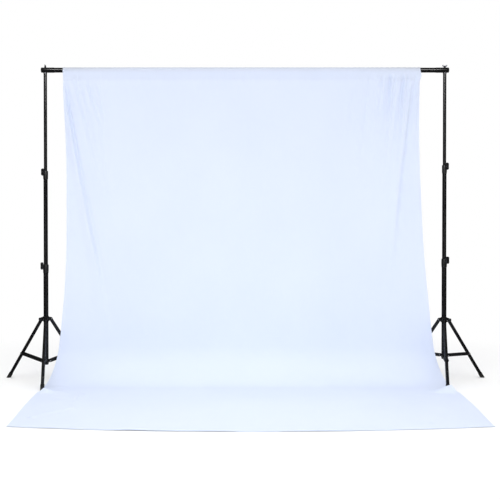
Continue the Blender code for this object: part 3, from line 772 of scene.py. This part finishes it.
def painted_tube(name, colour, roughness, gloss=0.34):
    """Stove enamel on drawn tube: faint orange peel, slide marks along it, thin wear on edges."""
    s = Shader(name)
    cloudy = s.noise(9.0)
    worn = s.worn_edges(width=0.0009, grain=s.noise(420.0, detail=5.0))
    paint = s.mix(s.spread(cloudy, 0.0, 1.0), colour, times(colour, 1.6))
    s.colour(s.mix(worn, paint, WORN_ENAMEL))
    s.roughness(s.noise(60.0, detail=4.0, stretch=(1.0, 1.0, 0.04)), roughness - 0.06, roughness + 0.10)
    s.set(Specular_IOR_Level=gloss)
    s.bump(s.noise(650.0, detail=2.0), strength=0.12, distance=0.00015)
    return s.material


def powder_coat(name):
    """Textured powder coat on die castings."""
    s = Shader(name)
    worn = s.worn_edges(width=0.0010, grain=s.noise(260.0, detail=5.0))
    base = s.mix(s.patches(30.0), (0.0045, 0.0045, 0.0050), (0.0085, 0.0085, 0.0090))
    s.colour(s.mix(worn, base, WORN_COATING))
    s.roughness(s.noise(900.0, detail=4.0), 0.42, 0.62)
    s.set(Specular_IOR_Level=0.26)
    s.bump(s.noise(1500.0), strength=0.35, distance=0.00012)
    return s.material


def moulded_nylon(name):
    """Spark-textured black nylon."""
    s = Shader(name)
    s.colour(s.mix(s.patches(45.0), (0.0040, 0.0040, 0.0045), (0.0075, 0.0075, 0.0080)))
    s.roughness(s.noise(500.0), 0.30, 0.46)
    s.set(Specular_IOR_Level=0.50)
    s.bump(s.noise(2100.0, detail=2.0), strength=0.30, distance=0.00010)
    return s.material


def foot_rubber(name):
    """Dull rubber, dusty over the 30 mm above the sole."""
    s = Shader(name)
    near_sole = s.spread(s.coordinates()["Z"], 1.0, 0.0, start=0.0, end=0.03)
    dusty = s.maths("MULTIPLY", near_sole, s.noise(160.0, detail=5.0))
    s.colour(s.mix(dusty, (0.0060, 0.0060, 0.0060), (0.055, 0.053, 0.050)))
    s.roughness(s.noise(300.0, detail=4.0), 0.70, 0.90)
    s.set(Specular_IOR_Level=0.30)
    s.bump(s.noise(1100.0, detail=4.0), strength=0.35, distance=0.00015)
    return s.material


def plated_steel(name, colour):
    """Zinc plate with fine scratches, darker in patches."""
    s = Shader(name)
    s.colour(s.mix(s.patches(140.0, detail=4.0), colour, times(colour, 0.7)))
    s.roughness(s.noise(700.0, detail=5.0), 0.24, 0.46)
    s.set(Metallic=1.0)
    s.bump(s.noise(900.0, detail=4.0, stretch=(1.0, 1.0, 6.0)), strength=0.15, distance=0.00008)
    return s.material


def painted_bar_shade(s, shade):
    """Painted shade where the black bar lies behind the cloth on the bar, most of all towards the bar's
    ends.
    """
    place = s.coordinates()
    behind = s.spread(place["Z"], 0.0, 1.0, start=BAR_Z - 0.026, end=BAR_Z + 0.014)
    behind = s.maths("POWER", behind, 1.7)
    off_centre = s.maths("MULTIPLY", place["X"], place["X"])
    behind = s.maths("MULTIPLY", behind, s.spread(off_centre, 0.62, 1.0, start=0.6, end=1.6))
    # the colour of the painted shade: the cloth's colour, darker and a little less blue
    return s.mix(behind, shade, times(CLOTH_COLOUR, (0.79, 0.77, 0.74)))


def woven_cloth(name, over_bar=False):
    """Plain-weave muslin: crossed threads with slubs, faint blotches, sheen and a little light through; on
    the pocket, also painted shade of the bar behind it.
    """
    s = Shader(name)
    blotch = s.patches(2.2, detail=4.0)
    thread = s.patches(260.0, stretch=(1.0, 1.0, 0.10))
    tint = s.mix(blotch, times(CLOTH_COLOUR, (0.988, 0.992, 0.997)), times(CLOTH_COLOUR, 1.012))
    shade = s.mix(s.maths("MULTIPLY", thread, 0.10), tint, times(CLOTH_COLOUR, 0.9))
    if over_bar:
        # painted shade of the black bar behind the pocket's cloth
        shade = painted_bar_shade(s, shade)
    s.colour(shade)
    s.roughness(s.noise(700.0), 0.82, 0.95)
    s.set(Specular_IOR_Level=0.03, Sheen_Weight=0.18, Sheen_Roughness=0.45)
    warp = s.waves(260.0, "X")
    weft = s.maths("MAXIMUM", s.waves(260.0, "Z"), s.waves(260.0, "Y"))
    weave = s.maths("MAXIMUM", warp, weft)
    slub = s.noise(95.0, detail=4.0, stretch=(1.0, 0.35, 0.35))
    uneven = s.maths("ADD", weave, s.maths("MULTIPLY", slub, 1.4))
    normal = s.bump(uneven, strength=0.25, distance=0.00020)
    through_light = s.add("ShaderNodeBsdfTranslucent")
    s.link(shade, through_light.inputs["Color"])
    s.link(normal, through_light.inputs["Normal"])
    s.mixed_output(0.14, s.surface.outputs["BSDF"], through_light.outputs["BSDF"])
    return s.material


def sewing_thread(name):
    """White polyester thread, twisted."""
    s = Shader(name)
    twist = s.noise(2600.0, detail=2.0)
    s.colour(s.mix(twist, (0.72, 0.79, 0.88), (0.86, 0.91, 0.97)))
    s.set(Roughness=0.55, Sheen_Weight=0.2)
    s.bump(twist, strength=0.4, distance=0.0001)
    return s.material


def make_finishes():
    """A finish for each of the record's material slots, and three more for pieces made here."""
    return {
        "tube_black": painted_tube("tube_enamel", BLACK_ENAMEL, roughness=0.20),
        "bar_black": painted_tube("bar_enamel", BAR_ENAMEL, roughness=0.14, gloss=0.55),
        "pressed_black": painted_tube("pressed_enamel", BAR_ENAMEL, roughness=0.40),
        "casting_black": powder_coat("casting_powder_coat"),
        "plastic_black": moulded_nylon("moulded_nylon"),
        "rubber_black": foot_rubber("foot_rubber"),
        "plated_steel": plated_steel("dark_plate", (0.10, 0.10, 0.11)),
        "rivet_steel": plated_steel("rivet_plate", (0.55, 0.55, 0.57)),
        "backdrop_cloth": woven_cloth("backdrop_muslin"),
        # this finish carries painted shade of the bar behind the pocket's cloth
        "pocket_cloth": woven_cloth("backdrop_muslin_painted_bar_shade", over_bar=True),
        "thread": sewing_thread("sewing_thread"),
    }


finishes = make_finishes()


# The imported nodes: smooth round faces, slightly broken edges, and their finishes

SMOOTH_BELOW = math.radians(32)  # angle between faces that are shaded as one
BEVEL_ABOVE = math.radians(40)  # angle between faces whose edge is broken
WELD = 0.00002
FINE_EDGE = 0.00025
BROKEN_EDGE = {"casting_black": 0.0006, "plastic_black": 0.0006, "bar_black": 0.0004}  # the rest: FINE_EDGE


def smoothing_group():
    """Geometry nodes that shade a mesh smooth across edges flatter than SMOOTH_BELOW."""
    group = bpy.data.node_groups.new("smooth_by_angle", "GeometryNodeTree")
    group.interface.new_socket("Geometry", in_out="INPUT", socket_type="NodeSocketGeometry")
    group.interface.new_socket("Geometry", in_out="OUTPUT", socket_type="NodeSocketGeometry")
    enter = group.nodes.new("NodeGroupInput")
    leave = group.nodes.new("NodeGroupOutput")
    angle = group.nodes.new("GeometryNodeInputMeshEdgeAngle")
    steep = group.nodes.new("FunctionNodeCompare")
    steep.operation = "GREATER_THAN"
    steep.inputs[1].default_value = SMOOTH_BELOW
    faces = group.nodes.new("GeometryNodeSetShadeSmooth")
    edges = group.nodes.new("GeometryNodeSetShadeSmooth")
    edges.domain = "EDGE"
    edges.inputs["Shade Smooth"].default_value = False
    group.links.new(enter.outputs[0], faces.inputs["Geometry"])
    group.links.new(faces.outputs["Geometry"], edges.inputs["Geometry"])
    group.links.new(angle.outputs["Unsigned Angle"], steep.inputs[0])
    group.links.new(steep.outputs["Result"], edges.inputs["Selection"])
    group.links.new(edges.outputs["Geometry"], leave.inputs[0])
    return group


smooth_by_angle = smoothing_group()


def finish_node(obj):
    slot = obj.data.materials[0].name.split(".")[0]
    packed_normals = obj.data.attributes.get("custom_normal")
    if packed_normals:
        obj.data.attributes.remove(packed_normals)
    weld = obj.modifiers.new("weld", "WELD")
    weld.merge_threshold = WELD
    shade = obj.modifiers.new("shade", "NODES")
    shade.node_group = smooth_by_angle
    bevel = obj.modifiers.new("broken_edges", "BEVEL")
    bevel.width = BROKEN_EDGE.get(slot, FINE_EDGE)
    bevel.segments = 2
    bevel.limit_method = "ANGLE"
    bevel.angle_limit = BEVEL_ABOVE
    bevel.harden_normals = True
    obj.data.materials[0] = finishes[slot]


for node_name, node in nodes.items():
    if node_name != "backdrop_cloth":
        finish_node(node)


# Building the cloth


def blend_upper(obj):
    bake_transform(obj)


def blend_lower(obj):
    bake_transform(obj)


def build_sheets(grid, seam, split):
    """The pocket rides on the crossbar. The two sheets below it stay where they are made."""
    cloth = finishes["backdrop_cloth"]
    pocket = shell("backdrop_rod_pocket", *part_of(grid, slice(0, seam + 1)), finishes["pocket_cloth"])
    upper = shell("backdrop_upper_sheet", *part_of(grid, slice(seam, split + 1)), cloth)
    lower = shell("backdrop_lower_sheet", *part_of(grid, slice(split, None)), cloth)
    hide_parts("backdrop_cloth")
    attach(pocket, "crossbar")
    blend_upper(upper)
    blend_lower(lower)
    return [pocket, upper, lower]


def build_stitching(grid, seam, split):
    """Stitching along both faces of the pocket's seam, the side hems and the front hem.

    The seam shows on row seam in front and on row 2 behind. A side hem is sewn along the third column
    from its edge, and the front hem along the third row from the end.
    """

    def line(rows, columns):
        return stitch_line(*part_of(grid, rows, columns))

    thread = finishes["thread"]
    every_column = slice(3, -3)
    upper_rows = slice(seam + 1, split + 1)
    lower_rows = slice(split, -3)
    seam_lines = [line(seam, every_column), line(2, every_column)]
    upper_lines = [line(upper_rows, 2), line(upper_rows, -3)]
    lower_lines = [line(lower_rows, 2), line(lower_rows, -3), line(-3, every_column)]
    on_seam = stitches("pocket_seam_stitching", seam_lines, thread)
    on_upper = stitches("side_hem_stitching_upper", upper_lines, thread)
    on_lower = stitches("hem_stitching_lower", lower_lines, thread)
    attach(on_seam, "crossbar")
    blend_upper(on_upper)
    blend_lower(on_lower)
    return [on_seam, on_upper, on_lower]


def build_cloth():
    grid, seam, split = cloth_grid()
    for obj in build_sheets(grid, seam, split) + build_stitching(grid, seam, split):
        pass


build_cloth()


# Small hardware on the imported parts: peened rivets, screw caps and stud threads

SUNK = 0.0001  # how far these pieces reach into the part they sit on
SAME_FACE = 0.0001  # points that are this close along an axis lie on one face
SHARP_ABOVE = math.radians(40)  # angle between faces whose edge stays sharp
PIVOT_REACH = 0.009  # a rivet's head lies within this distance of its joint's axis
BRACE_REACH = 0.15  # the other end of a brace lies beyond this distance from its joint

# Sections, as (radius, distance out of the face it sits on).
# A tubular rivet's peened end is a low dome with a dished middle.
RIVET_END = [
    (0.0043, -SUNK),
    (0.0042, 0.0004),
    (0.0034, 0.0009),
    (0.0024, 0.0011),
    (0.0017, 0.0009),
    (0.0013, 0.0003),
]
# A pressed cap covers the end of a clamp screw, on its handle's outer face.
SCREW_CAP = [
    (0.0064, -SUNK),
    (0.0064, 0.0004),
    (0.0054, 0.0011),
    (0.0024, 0.0013),
    (0.0014, 0.0005),
]

# The end of an 8 mm stud's thread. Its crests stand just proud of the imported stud.
THREAD_TURNS = 3
THREAD_PITCH = 0.0010
THREAD_START = -0.0034  # from the stud's tip
THREAD_ROOT = 0.0038
THREAD_CREST = 0.0042
CREST_HALF_WIDTH = 0.0001


def turned(profile, sides, start, direction):
    """A shape turned about a line from (radius, distance) points, with a flat face at each end."""
    turn = Vector(direction).normalized().to_track_quat("Z", "Y").to_matrix().to_4x4()
    place = Matrix.Translation(Vector(start)) @ turn
    verts = []
    for radius, distance in profile:
        for i in range(sides):
            angle = 2 * math.pi * i / sides
            verts.append(place @ Vector((radius * math.cos(angle), radius * math.sin(angle), distance)))
    first_face = tuple(range(sides))[::-1]
    last_face = tuple(len(verts) - sides + i for i in range(sides))
    return verts, [*ring_quads(len(profile), sides), first_face, last_face]


def add_hardware(name, shapes, finish, body):
    """One object made of several shapes, riding on a body."""
    bm = bmesh.new()
    for verts, faces in shapes:
        made = [bm.verts.new(v) for v in verts]
        for face in faces:
            bm.faces.new([made[i] for i in face])
    bmesh.ops.remove_doubles(bm, verts=bm.verts, dist=0.000005)
    bmesh.ops.recalc_face_normals(bm, faces=bm.faces)
    mesh = bpy.data.meshes.new(name)
    bm.to_mesh(mesh)
    bm.free()
    mesh.shade_smooth()
    mesh.set_sharp_from_angle(angle=SHARP_ABOVE)
    mesh.materials.append(finishes[finish])
    obj = add_object(name, mesh)
    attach(obj, body)


def node_points(name):
    return np.array([v.co for v in nodes[name].data.vertices])


def joint_line(joint):
    """A joint's axis and a point on it."""
    return np.array(joint["axis"], float), np.array(joint["pos_m"], float)


def rivet_ends(points, axis):
    """Peened ends on the two outermost faces of some points along an axis."""
    shapes = []
    for out in (axis, -axis):
        reach = points @ out
        face = points[reach > reach.max() - SAME_FACE]
        shapes.append(turned(RIVET_END, 20, face.mean(axis=0), out))
    return shapes


def build_rivets():
    """Each leg has a rivet at its ears. Each brace has one at the hub and one where it meets the leg."""
    for joint in frame["joints"]:
        body = joint["child"]
        is_leg = "_leg_" in body and "_leg_hub" not in body
        is_brace = "_brace_" in body
        if not (is_leg or is_brace):
            continue
        axis, pivot = joint_line(joint)
        points = node_points(body)
        from_axis = np.linalg.norm(np.cross(points - pivot, axis), axis=1)
        shapes = rivet_ends(points[from_axis < PIVOT_REACH], axis)
        if is_brace:
            from_pivot = np.linalg.norm(points - pivot, axis=1)
            shapes += rivet_ends(points[from_pivot > BRACE_REACH], axis)
        add_hardware(f"{body}_rivet_ends", shapes, "rivet_steel", body)


def build_screw_caps():
    for joint in frame["joints"]:
        body = joint["child"]
        if not body.endswith("_knob"):
            continue
        axis, pivot = joint_line(joint)
        points = node_points(body) - pivot
        reach = points @ axis
        out = axis if reach.max() > -reach.min() else -axis
        face = pivot + out * np.max(points @ out)
        add_hardware(f"{body}_screw_cap", [turned(SCREW_CAP, 28, face, out)], "plated_steel", body)


def stud_thread(tip):
    """The last turns of a stud's thread, standing out of the wing nut."""
    profile = [(THREAD_ROOT, THREAD_START)]
    for turn in range(THREAD_TURNS):
        crest = THREAD_START + THREAD_PITCH * (turn + 0.5)
        profile.append((THREAD_CREST, crest - CREST_HALF_WIDTH))
        profile.append((THREAD_CREST, crest + CREST_HALF_WIDTH))
        profile.append((THREAD_ROOT, crest + THREAD_PITCH / 2))
    return turned(profile, 24, tip, (0, 0, 1))


def build_stud_threads():
    for side in ("left", "right"):
        low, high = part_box(f"{side}_top_stud")
        tip = ((low.x + high.x) / 2, (low.y + high.y) / 2, high.z)
        add_hardware(f"{side}_stud_thread", [stud_thread(tip)], "plated_steel", "crossbar")


build_rivets()
build_screw_caps()
build_stud_threads()


# Studio: pale floor, even white surround, soft lights

# The black metal reflects a dark room, as it does between black flags in a studio.
DARK_ROOM = 0.05
ROOM_LIGHT = 0.94  # what the white surround gives to the cloth and the floor
ROOM_SEEN = 1.0  # how bright it is behind the object
FLOOR_TONE = 0.94
FLOOR_HALF = 40.0


def build_world():
    world = bpy.data.worlds.new("white_studio")
    world.use_nodes = True
    tree = world.node_tree
    background = tree.nodes["Background"]
    path = tree.nodes.new("ShaderNodeLightPath")
    seen = tree.nodes.new("ShaderNodeMix")
    seen.data_type = "FLOAT"
    seen.inputs["A"].default_value = ROOM_LIGHT
    seen.inputs["B"].default_value = ROOM_SEEN
    dark = tree.nodes.new("ShaderNodeMix")
    dark.data_type = "FLOAT"
    dark.inputs["B"].default_value = DARK_ROOM
    tree.links.new(path.outputs["Is Camera Ray"], seen.inputs["Factor"])
    tree.links.new(path.outputs["Is Glossy Ray"], dark.inputs["Factor"])
    tree.links.new(seen.outputs["Result"], dark.inputs["A"])
    tree.links.new(dark.outputs["Result"], background.inputs["Strength"])
    background.inputs["Color"].default_value = (1, 1, 1, 1)
    bpy.context.scene.world = world


def floor_finish():
    """Pale paint that turns into the white surround, from 1.8 to 3.4 m away."""
    s = Shader("studio_floor")
    s.set(Roughness=0.9, Specular_IOR_Level=0.0)
    s.surface.inputs["Base Color"].default_value = (FLOOR_TONE, FLOOR_TONE, FLOOR_TONE, 1)
    glow = s.add("ShaderNodeEmission")
    distance = s.add("ShaderNodeVectorMath", operation="LENGTH")
    s.link(s.place, distance.inputs[0])
    far = s.spread(distance.outputs["Value"], 0.0, 1.0, start=1.8, end=3.4)
    floor = s.mixed_output(far, s.surface.outputs["BSDF"], glow.outputs["Emission"])
    dark_room = s.add("ShaderNodeEmission")
    dark_room.inputs["Strength"].default_value = DARK_ROOM
    reflected = s.add("ShaderNodeLightPath").outputs["Is Glossy Ray"]
    s.mixed_output(reflected, floor, dark_room.outputs["Emission"])
    return s.material


def build_floor():
    corners = [(-1, -1), (1, -1), (1, 1), (-1, 1)]
    mesh = bpy.data.meshes.new("studio_floor")
    mesh.from_pydata([(FLOOR_HALF * x, FLOOR_HALF * y, 0) for x, y in corners], [], [(0, 1, 2, 3)])
    floor = add_object("studio_floor", mesh)
    mesh.materials.append(floor_finish())


def soft_light(name, place, target, size, power, spread=180, shine_only=False):
    """A rectangular light. One that is shine_only draws highlights and lights nothing."""
    data = bpy.data.lights.new(name, "AREA")
    data.shape = "RECTANGLE"
    data.size, data.size_y = size
    data.energy = power
    data.spread = math.radians(spread)
    light = add_object(name, data)
    light.location = place
    light.rotation_mode = "QUATERNION"
    light.rotation_quaternion = (Vector(target) - Vector(place)).to_track_quat("-Z", "Y")
    light.visible_diffuse = not shine_only
    light.visible_transmission = not shine_only


def build_lights():
    """Two high soft boxes, a low fill, and two lights for the floor part. Two slim banks only draw the
    highlights on bar and tubes, as strip lights close to the stands would."""
    on_floor = (0, PLANE - 1.2, 0)
    soft_light("key", (-2.8, PLANE - 4.8, 5.0), on_floor, (1.8, 1.8), power=22, spread=110)
    soft_light("fill", (3.0, PLANE - 4.6, 4.6), on_floor, (1.6, 1.6), power=13.5, spread=110)
    soft_light("low", (0, PLANE - 6.2, 0.8), (0, PLANE, 0.2), (1.4, 0.6), power=13)
    soft_light("wash", (0, PLANE - 3.6, 3.6), (0, PLANE - 0.9, 0), (3.2, 0.6), power=4.5, spread=60)
    soft_light("overhead", (0, PLANE - 1.0, 3.4), (0, PLANE - 1.0, 0), (3.0, 0.5), power=1.9, spread=70)
    bar_middle = (0, PLANE, BAR_Z)
    right_tube = (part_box("right_top_tube")[0].x, PLANE, 1.9)
    soft_light("wide_bank", (0, PLANE - 5.0, 3.6), bar_middle, (6.0, 0.6), power=220, shine_only=True)
    soft_light("tall_bank", (2.2, PLANE - 6.0, 3.1), right_tube, (0.22, 1.2), power=26, shine_only=True)


def build_camera():
    """At the height and distance that give the photograph's perspective."""
    data = bpy.data.cameras.new("camera")
    data.sensor_width = 36
    data.lens = 56.8
    data.shift_x = 0.010
    data.shift_y = -0.0451
    downwards = math.radians(0.7)
    camera = add_object("camera", data)
    camera.location = (0, PLANE - 5.8, 1.2)
    camera.rotation_euler = (math.pi / 2 - downwards, 0, 0)
    bpy.context.scene.camera = camera


build_world()
build_floor()
build_lights()
build_camera()
bpy.context.scene.view_settings.view_transform = "Standard"
